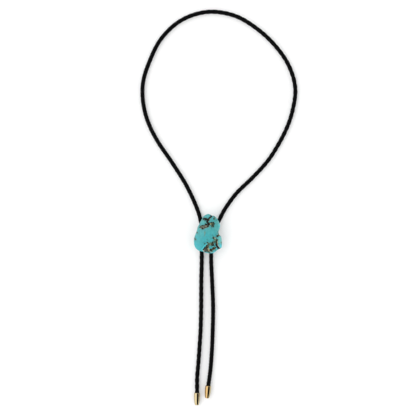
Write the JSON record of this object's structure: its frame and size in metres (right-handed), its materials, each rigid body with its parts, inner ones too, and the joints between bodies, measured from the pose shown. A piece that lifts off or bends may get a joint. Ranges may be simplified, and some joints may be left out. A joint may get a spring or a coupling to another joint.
{
  "type": "bolo tie",
  "caption": "Bolo tie lying flat: a smooth turquoise nugget on a bent metal slide, a round braided leather cord with a wide neck loop, and metal tips on its tails.",
  "frame": {"origin": "on the table that the tie lies on, below the middle of the nugget", "axes": "+X to the right seen from the front, +Y from the tips towards the neck loop, +Z out of the front of the nugget"},
  "size_m": [0.1613, 0.4068, 0.0161],
  "materials": {
    "turquoise": "tumble-polished turquoise with brown and black matrix",
    "clip_metal": "plain nickel-coloured bent sheet",
    "black_leather": "black leather lace, round braided in four strands",
    "tip_metal": "polished pale gold plate"
  },
  "bodies": {
    "root": {"turquoise_nugget": "turquoise", "slide_clip": "clip_metal", "braided_cord": "black_leather", "tip_left": "tip_metal", "tip_right": "tip_metal"}
  },
  "joints": []
}
